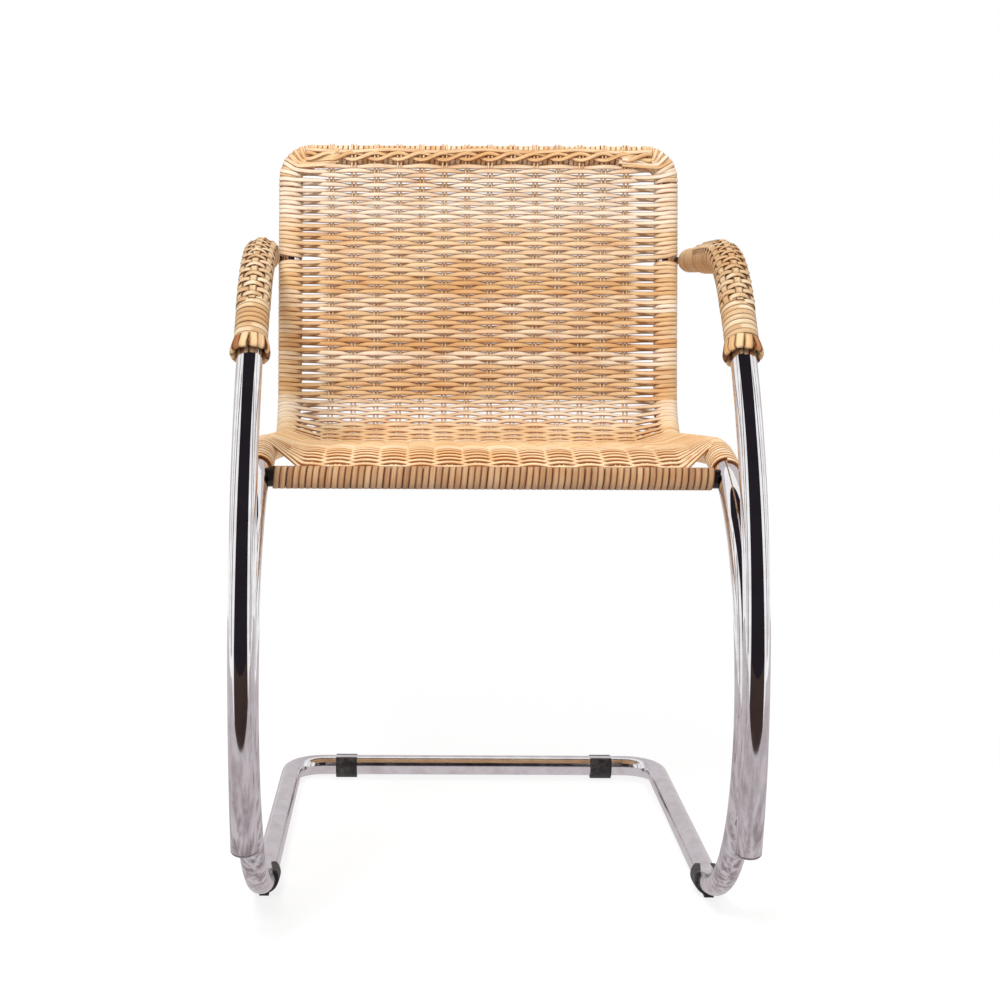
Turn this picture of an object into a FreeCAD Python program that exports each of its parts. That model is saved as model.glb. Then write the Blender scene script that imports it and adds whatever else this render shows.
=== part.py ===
"""Cantilever armchair of bent steel tube with a woven cane seat and back.

Millimetres. +Z is up and the sitter faces -Y. X = 0 is the plane of symmetry and
Z = 0 is the floor, and the origin is under the middle of the chair.
"""
import FreeCAD, Part
import math
import os

import Sketcher

from FreeCAD import Placement, Rotation, Vector

X_AXIS = Vector(1, 0, 0)
Y_AXIS = Vector(0, 1, 0)
Z_AXIS = Vector(0, 0, 1)

# Driving sizes: millimetres, and degrees where the name says so
SIZES = (
    ("tube_diameter", 25, "main frame and arms"),
    ("tube_wall", 2, "main frame and arms"),
    ("side_plane", 234, "from the middle of the chair to the axis of a side tube"),
    ("front_bend", 226, "radius of the big front bend"),
    ("seat_fall_degrees", 4, "seat tubes fall to the back"),
    ("seat_depth", 374, "from the front bend's centre to where seat and back lines meet"),
    ("seat_back_bend", 65, "radius between seat and back"),
    ("back_lean_degrees", 7.5, "back leans away from upright"),
    ("overall_height", 809, "floor to the top of the wound top bar"),
    ("top_corner", 27, "radius of the two corners of the back"),
    ("rear_bar_back", 423, "floor bar behind the front bend's centre"),
    ("base_corner", 42, "radius of the two rear corners on the floor"),
    ("half_gap", 0.2, "gap between the two halves of the frame"),
    ("sleeve_length", 70, "joint sleeves inside the frame"),
    ("sleeve_wall", 1.5, "joint sleeves inside the frame"),
    ("slide_fit", 0.15, "radial play of what slides into a tube"),
    ("rail_diameter", 19, "front rail"),
    ("rail_wall", 1.5, "front rail"),
    ("rail_forward", 90, "front rail ahead of the front bend's centre"),
    ("cope_gap", 0.15, "between a coped end and the tube it meets"),
    ("plug_length", 34, "threaded plugs inside the tubes' ends"),
    ("cap_thickness", 2.5, "visible head of an arm plug"),
    ("cap_round", 1.2, "rounded edge of an arm plug"),
    ("screw_diameter", 5, "all screws"),
    ("screw_head", 9, "diameter of the countersunk heads"),
    ("screw_sink", 2, "depth of the countersunk heads"),
    ("screw_play", 0.2, "radial play of a screw in its hole"),
    ("screw_bite", 12, "depth of a screw in its plug"),
    ("arm_low_ahead", 22, "lower end of an arm ahead of the front bend's foremost point"),
    ("arm_low_height", 117, "lower end of an arm above the floor"),
    ("arm_low_lean_degrees", 15, "lower end of an arm leans forward"),
    ("arm_front_bend", 520, "long bend of an arm"),
    ("arm_top_bend", 140, "upper bend of an arm"),
    ("arm_height", 668, "floor to the axis of the level part of an arm"),
    ("arm_swing_bend", 160, "level bend that takes an arm outside the back"),
    ("arm_tail", 17, "arm behind its rear screw"),
    ("arm_screw_up", 16, "lower arm screw above the arm's end, before its cap"),
    ("low_spacer", 13, "diameter of the lower spacers between arm and frame"),
    ("rear_spacer", 9, "diameter of the rear spacers"),
    ("winding", 2, "one layer of cane on a tube"),
    ("winding_fit", 0.15, "between a tube and the cane on it"),
    ("winding_end", 3, "bare tube beside a rail or where a winding ends"),
    ("joint_bare", 10, "bare stretch of a back tube at its arm screw"),
    ("arm_gap", 0.8, "between the cane of an arm and the cane of the back"),
    ("arm_wound_front", 180, "cane on an arm, ahead of its level part"),
    ("collar_length", 14, "raised end of an arm's cane"),
    ("collar_rise", 5.5, "thickness of that raised end"),
    ("binding_turns", 9, "turns of round cane behind the collar"),
    ("binding_cane", 2.8, "diameter of that cane"),
    ("binding_pitch", 3.6, "from turn to turn"),
    ("layer_gap", 0.3, "between layers of cane and between woven fields"),
    ("plait", 2.6, "thickness of the plaited layer on the arms"),
    ("plait_back", 165, "plait on the level part of an arm"),
    ("weave", 6, "thickness of the woven seat and back"),
    ("corner_hole_width", 20, "open corner beside the front rail, sideways"),
    ("corner_hole_depth", 70, "open corner beside the front rail, to the back"),
    ("sole", 3, "thickness of the glides under the tube"),
    ("glide_wall", 3, "thickness of the glides round the tube"),
    ("glide_fit", 0.15, "radial play of a glide on its tube"),
    ("glide_rise", 11.5, "upper edge of a glide above the tube's axis"),
    ("foot_width", 10, "width of a glide's flat sole"),
    ("rear_glide_length", 27, "along the floor bar"),
    ("rear_glide_inset", 27, "from a rear corner's bend to the middle of the glide beside it"),
    ("front_glide_start_degrees", 1.5, "rear end of a front glide, on the front bend"),
    ("front_glide_end_degrees", 9.5, "front end of a front glide, on the front bend"),
)

doc = FreeCAD.newDocument("CantileverArmchair")
sheet = doc.addObject("Spreadsheet::Sheet", "Sizes")
for row, (alias, value, note) in enumerate(SIZES, start=1):
    sheet.set("A%d" % row, str(value))
    sheet.setAlias("A%d" % row, alias)
    sheet.set("B%d" % row, note)
doc.recompute()

kept = []


def size(alias):
    """Value of a named size."""
    return float(getattr(sheet, alias))


# Sizes worked out from the driving ones
tube_radius = size("tube_diameter") / 2
tube_bore = tube_radius - size("tube_wall")
wound_radius = tube_radius + size("winding")
rail_radius = size("rail_diameter") / 2
wound_rail_radius = rail_radius + size("winding")
screw_radius = size("screw_diameter") / 2
side_x = size("side_plane")
floor_axis_z = size("sole") + tube_radius
bend_centre_z = floor_axis_z + size("front_bend")
arm_lean = math.radians(size("arm_low_lean_degrees"))
seat_fall = math.radians(size("seat_fall_degrees"))
back_lean = math.radians(size("back_lean_degrees"))
seat_way = Vector(0, math.cos(seat_fall), -math.sin(seat_fall))
back_way = Vector(0, math.sin(back_lean), math.cos(back_lean))

# The centre of the front bend, placed so that the chair reaches as far to the front as to the back
arm_low_forward = size("front_bend") + size("arm_low_ahead")
arm_bulge = size("arm_front_bend") * (1 - math.cos(arm_lean))
reach_front = arm_low_forward + arm_bulge + tube_radius
reach_back = size("rear_bar_back") + tube_radius + size("glide_wall")
bend_y = (reach_front - reach_back) / 2
floor_bar_y = bend_y + size("rear_bar_back")


def parameter(edge, distance):
    """The curve parameter of an edge at a distance from its start."""
    share = min(max(distance / edge.Length, 0.0), 1.0)
    return edge.FirstParameter + (edge.LastParameter - edge.FirstParameter) * share


class Route:
    """A path of straight runs and tangent arcs, with its points in order."""

    def __init__(self, start):
        self.at = start
        self.edges = []
        self.ends = [0.0]

    def _add(self, edge, end):
        self.edges.append(edge)
        self.at = end
        self.ends.append(self.ends[-1] + edge.Length)

    def line(self, end):
        self._add(Part.LineSegment(self.at, end).toShape(), end)

    def arc(self, middle, end):
        self._add(Part.Arc(self.at, middle, end).toShape(), end)

    def mark(self):
        """Distance along the route to its present end."""
        return self.ends[-1]

    def _locate(self, distance):
        for edge, first, last in zip(self.edges, self.ends, self.ends[1:]):
            if distance <= last or last == self.ends[-1]:
                return edge, parameter(edge, distance - first)

    def point(self, distance):
        edge, place = self._locate(distance)
        return edge.valueAt(place)

    def tangent(self, distance):
        edge, place = self._locate(distance)
        return edge.tangentAt(place)

    def span(self, first, last):
        """The wire between two distances along the route."""
        wire = []
        for edge, start, stop in zip(self.edges, self.ends, self.ends[1:]):
            low = max(first, start)
            high = min(last, stop)
            if high - low > 1e-6:
                begin = parameter(edge, low - start)
                finish = parameter(edge, high - start)
                wire.append(edge.Curve.toShape(begin, finish))
        return Part.Wire(wire)

    def pipe(self, radius, first=0.0, last=None):
        """A solid rod along the route between two distances."""
        last = self.mark() if last is None else last
        ring = Part.Wire(Part.makeCircle(radius, self.point(first), self.tangent(first)))
        return self.span(first, last).makePipeShell([ring], True, False)


def corner(route, point, way_in, way_out, radius):
    """Run straight to a corner and round it; returns the distance where the bend starts."""
    turn = way_in.getAngle(way_out)
    reach = radius * math.tan(turn / 2)
    inward = (way_out - way_in).normalize()
    centre = point + inward * (radius / math.cos(turn / 2))
    route.line(point - way_in * reach)
    start = route.mark()
    route.arc(centre - inward * radius, point + way_out * reach)
    return start


def run_side(route, x):
    """Add the front bend, the seat and the bend of the back; returns the marks and the meeting point."""
    centre = Vector(x, bend_y, bend_centre_z)
    radius = size("front_bend")
    seat_normal = Vector(0, math.sin(seat_fall), math.cos(seat_fall))
    marks = {"bend_start": route.mark()}
    bend_top = centre + seat_normal * radius
    route.arc(centre - seat_way * radius, bend_top)
    marks["bend_end"] = route.mark()
    run = (bend_y + size("seat_depth") - bend_top.y) / seat_way.y
    meeting = bend_top + seat_way * run
    marks["back_bend"] = corner(route, meeting, seat_way, back_way, size("seat_back_bend"))
    marks["back_start"] = route.mark()
    top_axis_z = size("overall_height") - wound_radius
    marks["top"] = meeting + back_way * ((top_axis_z - meeting.z) / back_way.z)
    return marks


def frame_route(side):
    """Half of the frame, from the middle of the floor bar to the middle of the top bar."""
    x = side * side_x
    outward = X_AXIS * side
    half_gap = side * size("half_gap") / 2
    route = Route(Vector(half_gap, floor_bar_y, floor_axis_z))
    corner(route, Vector(x, floor_bar_y, floor_axis_z), outward, -Y_AXIS, size("base_corner"))
    route.line(Vector(x, bend_y, floor_axis_z))
    marks = run_side(route, x)
    top = marks["top"]
    marks["top_bend"] = corner(route, top, back_way, -outward, size("top_corner"))
    marks["top_bar"] = route.mark()
    route.line(Vector(half_gap, top.y, top.z))
    return route, marks


def field_route():
    """The line of the woven seat and back, in the middle plane."""
    route = Route(Vector(0, bend_y, floor_axis_z))
    marks = run_side(route, 0)
    route.line(marks["top"])
    return route, marks


frame_routes = {side: frame_route(side) for side in (-1, 1)}
frame_marks = frame_routes[1][1]
top_point = Vector(0, frame_marks["top"].y, frame_marks["top"].z)


def back_axis(z):
    """Axis point of the back's tubes at a height, in the middle plane."""
    drop = (top_point.z - z) / back_way.z
    point = top_point - back_way * drop
    return Vector(0, point.y, point.z)


def front_axis(forward):
    """Axis point of the upper half of the front bend, ahead of its centre."""
    rise = math.sqrt(size("front_bend") ** 2 - forward ** 2)
    return Vector(0, bend_y - forward, bend_centre_z + rise)


arm_joint = back_axis(size("arm_height"))
arm_offset = 2 * wound_radius + size("arm_gap")
rail_axis = front_axis(size("rail_forward"))


def arm_route(side):
    """An arm, from its lower end up the front and back along the level part."""
    long_bend = size("arm_front_bend")
    top_bend = size("arm_top_bend")
    x = side * side_x
    low = Vector(x, bend_y - arm_low_forward, size("arm_low_height"))
    climb = size("arm_height") - low.z - long_bend * math.sin(arm_lean) - top_bend
    tilt = math.asin(climb / (long_bend - top_bend))
    centre = low + Vector(0, long_bend * math.cos(arm_lean), long_bend * math.sin(arm_lean))
    route = Route(low)

    def on_long_bend(angle):
        return centre + Vector(0, -math.cos(angle), math.sin(angle)) * long_bend

    route.arc(on_long_bend((tilt - arm_lean) / 2), on_long_bend(tilt))
    marks = {"long_bend_end": route.mark()}
    upper = centre + Vector(0, -math.cos(tilt), math.sin(tilt)) * (long_bend - top_bend)

    def on_top_bend(angle):
        return upper + Vector(0, -math.cos(angle), math.sin(angle)) * top_bend

    route.arc(on_top_bend((tilt + math.pi / 2) / 2), on_top_bend(math.pi / 2))
    marks["level_start"] = route.mark()
    swing = size("arm_swing_bend")
    ahead = arm_joint.y - route.at.y
    across = swing - arm_offset
    straight = math.sqrt(across ** 2 + ahead ** 2 - swing ** 2)
    angle = math.atan2(ahead, across) - math.atan2(straight, swing)
    pivot = route.at + X_AXIS * side * swing

    def on_swing(turn):
        return pivot + Vector(-side * math.cos(turn), math.sin(turn), 0) * swing

    route.arc(on_swing(angle / 2), on_swing(angle))
    tail_way = Vector(side * math.sin(angle), math.cos(angle), 0)
    route.line(route.at + tail_way * (straight + size("arm_tail") + size("cap_thickness")))
    marks["screw"] = route.mark() - size("arm_tail") - size("cap_thickness")
    return route, marks


arm_routes = {side: arm_route(side) for side in (-1, 1)}


def keep(thing, label):
    """Name a sub-part and list it for export."""
    thing.Label = label
    kept.append(thing)
    return thing


def shaped(label, shape):
    """A helper or sub-part whose shape is worked out from the sizes."""
    thing = doc.addObject("Part::Feature", label)
    thing.Shape = shape
    return thing


def aimed(start, way):
    """Placement that takes +Z to a direction, at a point."""
    return Placement(start, Rotation(Z_AXIS, way))


def rod(label, radius, length, start, way):
    """A cylinder with its radius bound to the sizes, and its length bound or worked out."""
    thing = doc.addObject("Part::Cylinder", label)
    thing.setExpression("Radius", radius)
    if isinstance(length, str):
        thing.setExpression("Height", length)
    else:
        thing.Height = length
    thing.Placement = aimed(start, way)
    return thing


def cut(label, base, tool):
    thing = doc.addObject("Part::Cut", label)
    thing.Base = base
    thing.Tool = tool
    return thing


def fused(label, *things):
    thing = doc.addObject("Part::MultiFuse", label)
    thing.Shapes = list(things)
    return thing


def hollow_rod(label, radius, bore, length, start, way):
    """A straight tube from two bound cylinders."""
    outer = rod(label + "_outer", radius, length, start, way)
    inner = rod(label + "_bore", bore, length, start, way)
    return cut(label, outer, inner)


def side_name(side):
    return "left" if side < 0 else "right"


def joint_axes(side):
    """Axis points of the frame and of the arm at the two joints of an arm."""
    arm, marks = arm_routes[side]
    low = arm.point(size("arm_screw_up") + size("cap_thickness"))
    behind = math.sqrt(size("front_bend") ** 2 - (low.z - bend_centre_z) ** 2)
    leg = Vector(low.x, bend_y - behind, low.z)
    upright = Vector(side * side_x, arm_joint.y, arm_joint.z)
    return {"low": (leg, low), "rear": (upright, arm.point(marks["screw"]))}


def screw_lines(side):
    """Start on the outer skin, direction and length of the three screws of one side."""
    outward = X_AXIS * side
    joints = joint_axes(side)
    leg, low = joints["low"]
    upright, tail = joints["rear"]
    rail = Vector(side * side_x, rail_axis.y, rail_axis.z)
    leg_skin = tube_radius * size("front_bend") / (bend_y - leg.y)
    bite = size("screw_bite") - tube_bore
    return {
        "arm_low": (leg + Y_AXIS * leg_skin, -Y_AXIS, leg_skin + (leg - low).Length + bite),
        "arm_rear": (upright - outward * tube_radius, outward, tube_radius + (tail - upright).Length + bite),
        "rail": (rail + outward * tube_radius, -outward, 2 * tube_radius + size("screw_bite")),
    }


def screw_tool(line):
    """The hole for a screw: its shank and countersunk head with play."""
    start, way, length = line
    play = size("screw_play")
    shank = Part.makeCylinder(screw_radius + play, length + play, start, way)
    head = Part.makeCone(size("screw_head") / 2 + play, screw_radius + play, size("screw_sink"), start, way)
    recess = Part.makeCylinder(size("screw_head") / 2 + play, tube_radius, start - way * tube_radius, way)
    return shank.fuse([head, recess])


tools = {side: {name: screw_tool(line) for name, line in screw_lines(side).items()} for side in (-1, 1)}


def make_frame(side):
    """Half of the frame: a hollow tube with its screw holes."""
    route = frame_routes[side][0]
    tube = route.pipe(tube_radius).cut(route.pipe(tube_bore))
    for tool in tools[side].values():
        tube = tube.cut(tool)
    keep(shaped("frame_" + side_name(side), tube), "frame_tube_" + side_name(side))


def make_sleeve(label, centre):
    """A joint sleeve inside the two halves of the frame."""
    start = centre - X_AXIS * (size("sleeve_length") / 2)
    radius = "Sizes.tube_diameter / 2 - Sizes.tube_wall - Sizes.slide_fit"
    sleeve = hollow_rod(label, radius, radius + " - Sizes.sleeve_wall", "Sizes.sleeve_length", start, X_AXIS)
    keep(sleeve, label)


def make_front_rail():
    """The front rail, coped to the two side tubes."""
    start = rail_axis - X_AXIS * side_x
    length = "2 * Sizes.side_plane"
    radius = "Sizes.rail_diameter / 2"
    blank = hollow_rod("rail_blank", radius, radius + " - Sizes.rail_wall", length, start, X_AXIS)
    copes = [shaped("rail_cope", cope_shape(side)) for side in (-1, 1)]
    keep(cut("front_rail", blank, fused("rail_copes", *copes)), "front_rail_tube")


def cope_shape(side):
    """The space that a side tube takes beside the front rail."""
    route, marks = frame_routes[side]
    return route.pipe(tube_radius + size("cope_gap"), marks["bend_start"], marks["bend_end"])


def make_rail_plug(side):
    """The threaded plug in one end of the front rail."""
    name = "front_rail_plug_" + side_name(side)
    outward = X_AXIS * side
    start = rail_axis + outward * (side_x - tube_radius - size("plug_length"))
    radius = "Sizes.rail_diameter / 2 - Sizes.rail_wall - Sizes.slide_fit"
    blank = rod(name + "_blank", radius, "Sizes.plug_length + Sizes.tube_diameter / 2", start, outward)
    drilled = cut(name + "_drilled", blank, shaped(name + "_hole", tools[side]["rail"]))
    keep(cut(name, drilled, shaped(name + "_cope", cope_shape(side))), name)


def make_screw(side, line_name, label):
    """A countersunk screw."""
    start, way, length = screw_lines(side)[line_name]
    shank = Part.makeCylinder(screw_radius, length, start, way)
    name = label + "_" + side_name(side)
    head = doc.addObject("Part::Cone", name + "_head")
    head.setExpression("Radius1", "Sizes.screw_head / 2")
    head.setExpression("Radius2", "Sizes.screw_diameter / 2")
    head.setExpression("Height", "Sizes.screw_sink")
    head.Placement = aimed(start, way)
    keep(fused(name, shaped(name + "_shank", shank), head), name)


def make_arm_tube(side):
    """An arm's tube, between its two plug heads."""
    route = arm_routes[side][0]
    first = size("cap_thickness")
    last = route.mark() - first
    tube = route.pipe(tube_radius, first, last).cut(route.pipe(tube_bore, first, last))
    tube = tube.cut(tools[side]["arm_low"]).cut(tools[side]["arm_rear"])
    keep(shaped("arm_" + side_name(side), tube), "arm_tube_" + side_name(side))


def make_arm_plug(side, place):
    """The plug in one end of an arm: a threaded insert with a rounded head."""
    route = arm_routes[side][0]
    cap = size("cap_thickness")
    length = size("plug_length")
    at_low_end = place == "low"
    cap_span = (0, cap) if at_low_end else (route.mark() - cap, route.mark())
    insert_span = (cap / 2, length) if at_low_end else (route.mark() - length, route.mark() - cap / 2)
    outer_end = route.point(0 if at_low_end else route.mark())
    head = route.pipe(tube_radius, *cap_span)
    rim = [edge for edge in head.Edges if (edge.CenterOfMass - outer_end).Length < cap / 2 and edge.Closed]
    head = head.makeFillet(size("cap_round"), rim)
    insert = route.pipe(tube_bore - size("slide_fit"), *insert_span)
    plug = head.fuse(insert).cut(tools[side]["arm_" + place])
    name = "arm_plug_%s_%s" % (place, side_name(side))
    keep(shaped(name, plug), name)


def make_arm_spacer(side, place):
    """The spacer between an arm and the frame, coped to both tubes."""
    frame_point, arm_point = joint_axes(side)[place]
    name = "arm_spacer_%s_%s" % (place, side_name(side))
    gap = arm_point - frame_point
    blank = rod(name + "_blank", "Sizes.%s_spacer / 2" % place, gap.Length, frame_point, gap)
    frame, marks = frame_routes[side]
    arm, arm_marks = arm_routes[side]
    room = tube_radius + size("cope_gap")
    if place == "low":
        frame_part = frame.pipe(room, marks["bend_start"], marks["bend_end"])
        arm_part = arm.pipe(room, 0, arm_marks["long_bend_end"])
    else:
        frame_part = frame.pipe(room, marks["back_start"], marks["top_bend"])
        arm_part = arm.pipe(room, arm_marks["level_start"], arm.mark())
    space = shaped(name + "_space", frame_part.fuse([arm_part, tools[side]["arm_" + place]]))
    keep(cut(name, blank, space), name)


def sleeve_on(route, label, inner, outer, first, last):
    """A layer of cane on a tube, between two distances along its route."""
    layer = route.pipe(outer, first, last).cut(route.pipe(inner, first, last))
    keep(shaped(label + "_shape", layer), label)


def distance_at(route, low, high, test):
    """Distance along a route where a test on the point turns true, by halving."""
    for _ in range(40):
        middle = (low + high) / 2
        if test(route.point(middle)):
            high = middle
        else:
            low = middle
    return high


def clear_of_rail(route, marks, room):
    """Distance along the seat where the front rail's axis is a given room away."""

    def is_clear(point):
        reach = math.hypot(point.y - rail_axis.y, point.z - rail_axis.z)
        return point.y > rail_axis.y and point.z > bend_centre_z and reach > room

    return distance_at(route, marks["bend_start"], marks["bend_end"], is_clear)


def make_frame_windings(side):
    """Cane on the seat tube, and on the back tube below and above the arm, on one side."""
    route, marks = frame_routes[side]
    name = side_name(side)
    inner = tube_radius + size("winding_fit")
    gap = size("layer_gap")
    bare = size("joint_bare") / 2
    seat_start = clear_of_rail(route, marks, wound_rail_radius + size("winding_end"))
    joint = distance_at(route, marks["back_start"], marks["top_bend"], lambda point: point.z > arm_joint.z)
    sleeve_on(route, "seat_winding_" + name, inner, wound_radius, seat_start, marks["back_bend"] - gap)
    sleeve_on(route, "back_winding_low_" + name, inner, wound_radius, marks["back_bend"], joint - bare)
    sleeve_on(route, "back_winding_high_" + name, inner, wound_radius, joint + bare, marks["top_bar"] - gap)


def make_bar_winding(label, centre, radius, half_length):
    """Cane on a straight bar that crosses the chair."""
    start = centre - X_AXIS * half_length
    sleeve = hollow_rod(label, radius + " + Sizes.winding", radius + " + Sizes.winding_fit",
                        2 * half_length, start, X_AXIS)
    keep(sleeve, label)


def make_arm_cane(side):
    """The layers of cane on an arm."""
    route, marks = arm_routes[side]
    name = side_name(side)
    gap = size("layer_gap")
    front = marks["level_start"] - size("arm_wound_front")
    rear = marks["screw"] - size("rear_spacer") / 2 - size("winding_end")
    sleeve_on(route, "arm_winding_" + name, tube_radius + size("winding_fit"), wound_radius, front, rear)
    second = wound_radius + gap
    collar_end = front + size("collar_length")
    sleeve_on(route, "arm_collar_" + name, second, wound_radius + size("collar_rise"), front, collar_end)
    turns = size("binding_turns")
    cane = size("binding_cane")
    bound_start = collar_end + gap + cane / 2
    bound_length = turns * size("binding_pitch")
    make_binding(side, second + cane / 2, bound_start, bound_length)
    plait_start = bound_start + bound_length + cane / 2 + gap
    plait_end = marks["level_start"] + size("plait_back")
    sleeve_on(route, "arm_plait_" + name, second, second + size("plait"), plait_start, plait_end)


def biarc(start, start_way, end, end_way):
    """Two tangent arcs from one point and direction to another."""
    chord = end - start
    both = start_way + end_way
    a = both.dot(both) - 4
    b = -2 * chord.dot(both)
    c = chord.dot(chord)
    reach = (-b - math.sqrt(b * b - 4 * a * c)) / (2 * a)
    first_corner = start + start_way * reach
    last_corner = end - end_way * reach
    meeting = (first_corner + last_corner) * 0.5
    edges = []
    for tail, knee, tip in ((start, first_corner, meeting), (meeting, last_corner, end)):
        weight = (tip - tail).Length / (2 * reach)
        middle = (tail + knee * (2 * weight) + tip) * (1 / (2 + 2 * weight))
        edges.append(Part.Arc(tail, middle, tip).toShape())
    return edges


def make_binding(side, radius, start, length):
    """Round cane wound on the front of an arm as one unbroken helix."""
    route, marks = arm_routes[side]
    turns = size("binding_turns")

    def on_helix(share):
        place = start + length * share
        axis = route.point(place)
        normal = X_AXIS.cross(route.tangent(place)).normalize()
        angle = 2 * math.pi * turns * share
        return axis + normal * (radius * math.cos(angle)) + X_AXIS * (radius * math.sin(angle))

    def heading(share):
        step = 1e-4
        return (on_helix(share + step) - on_helix(share - step)).normalize()

    quarters = int(round(4 * turns))
    edges = []
    for k in range(quarters):
        first = k / quarters
        last = (k + 1) / quarters
        edges += biarc(on_helix(first), heading(first), on_helix(last), heading(last))
    path = Part.Wire(edges)
    cane = size("binding_cane") / 2
    ring = Part.Wire(Part.makeCircle(cane, on_helix(0), heading(0)))
    solid = path.makePipeShell([ring], True, False)
    name = "arm_binding_" + side_name(side)
    keep(shaped(name, solid), name)
    samples = 72
    loops = [on_helix(k / (samples * turns)) for k in range(int(samples * turns) + 1)]
    pairs = ((p, q) for k, p in enumerate(loops) for q in loops[k + samples // 2:])
    least = min((p - q).Length for p, q in pairs) - 2 * cane
    ideal = math.pi * cane ** 2 * path.Length
    filled = solid.Volume / ideal
    print("%s: least gap to itself %.2f mm, volume to section times length %.4f" % (name, least, filled))


def moved_square(edge, distance):
    """A copy of a line or arc of a side route, moved square to itself in its plane."""
    moved = []
    for share in (0, 0.5, 1):
        place = parameter(edge, share * edge.Length)
        square = edge.tangentAt(place).cross(X_AXIS).normalize()
        moved.append(edge.valueAt(place) + square * distance)
    if isinstance(edge.Curve, Part.Circle):
        return moved, Part.Arc(*moved).toShape()
    return moved, Part.LineSegment(moved[0], moved[2]).toShape()


def woven_field(route, first, last, half_width):
    """A woven field that follows a route in the middle plane between two distances."""
    half = size("weave") / 2
    runs = route.span(first, last).OrderedEdges
    upper = [moved_square(edge, half) for edge in runs]
    lower = [moved_square(edge, -half) for edge in runs]
    closing = [Part.LineSegment(upper[place][0][end], lower[place][0][end]).toShape()
               for place, end in ((0, 0), (-1, 2))]
    outline = Part.Wire(Part.__sortEdges__([item[1] for item in upper + lower] + closing))
    field = Part.Face(outline).extrude(X_AXIS * (2 * half_width))
    field.translate(-X_AXIS * half_width)
    return field


def make_seat_field():
    """The woven seat between the wound tubes, open in its two front corners."""
    route, marks = field_route()
    gap = size("layer_gap")
    half_width = side_x - wound_radius - gap
    first = clear_of_rail(route, marks, wound_rail_radius + gap)
    seat = woven_field(route, first, marks["back_bend"] - gap, half_width)
    front = route.point(first).y - size("weave")
    for side in (-1, 1):
        inner_x = side * (half_width - size("corner_hole_width"))
        outer_x = side * (half_width + gap)
        corners = [Vector(inner_x, front, 0), Vector(outer_x, front, 0),
                   Vector(outer_x, front + size("weave") + size("corner_hole_depth"), 0)]
        hole = Part.Face(Part.makePolygon(corners + corners[:1])).extrude(Z_AXIS * size("overall_height"))
        seat = seat.cut(hole)
    keep(shaped("seat_field", seat), "cane_seat")


def make_back_field():
    """The woven back between the wound tubes, round at its upper corners, with room for the arms' rear screws."""
    route, marks = field_route()
    gap = size("layer_gap")
    last = route.mark() - wound_radius - gap
    back = woven_field(route, marks["back_bend"], last, side_x - wound_radius - gap)
    top = route.point(last)
    corners = [edge for edge in back.Edges
               if (edge.CenterOfMass - Vector(edge.CenterOfMass.x, top.y, top.z)).Length < gap]
    back = back.makeFillet(size("top_corner") - wound_radius - gap, corners)
    for side in (-1, 1):
        start, way, length = screw_lines(side)["arm_rear"]
        notch = Part.makeCylinder(size("joint_bare") / 2, size("joint_bare"), start, -way)
        back = back.cut(notch)
    keep(shaped("back_field", back), "cane_back")


def make_front_glide(side):
    """A sleeve clipped round the tube under the front bend, flat below and open above."""
    route, marks = frame_routes[side]
    radius = size("front_bend")
    first = marks["bend_start"] + radius * math.radians(size("front_glide_start_degrees"))
    last = marks["bend_start"] + radius * math.radians(size("front_glide_end_degrees"))
    near, far = route.point(first), route.point(last)
    half_foot = size("foot_width") / 2
    block = Part.makeBox(2 * half_foot, near.y - far.y, floor_axis_z, Vector(near.x - half_foot, far.y, 0))
    shell = route.pipe(tube_radius + size("glide_wall"), first, last)
    reach = size("front_bend") / 4
    lid_corner = Vector(near.x - reach, far.y - reach, floor_axis_z + size("glide_rise"))
    lid = Part.makeBox(2 * reach, 2 * reach, 2 * reach, lid_corner)
    room = route.pipe(tube_radius + size("glide_fit"), marks["bend_start"] - tube_radius, last + tube_radius)
    glide = shell.fuse(block).cut(room.fuse(lid))
    name = "front_glide_" + side_name(side)
    keep(shaped(name, glide), name)


def plane_of(body, role):
    """A body's own origin plane."""
    return [item for item in body.Origin.OriginFeatures if item.Role == role][0]


def sketch_on(body, name):
    """An empty sketch on a body's own YZ plane: across it is +Y, up it is +Z."""
    sketch = body.newObject("Sketcher::SketchObject", name)
    sketch.AttachmentSupport = (plane_of(body, "YZ_Plane"), [""])
    sketch.MapMode = "FlatFace"
    return sketch


def bind(sketch, name, constraint, expression):
    """Add a named constraint to a sketch and bind it to the sizes."""
    index = sketch.addConstraint(constraint)
    sketch.renameConstraint(index, name)
    sketch.setExpression("Constraints." + name, expression)


def circle_sketch(body, name, radius):
    """A sketch of one circle round the body's origin."""
    sketch = sketch_on(body, name)
    centre = sketch.addGeometry(Part.Circle(Vector(0, 0, 0), Z_AXIS, tube_radius))
    sketch.addConstraint(Sketcher.Constraint("Coincident", centre, 3, -1, 1))
    bind(sketch, "ring", Sketcher.Constraint("Radius", centre, tube_radius), radius)
    return sketch


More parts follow.
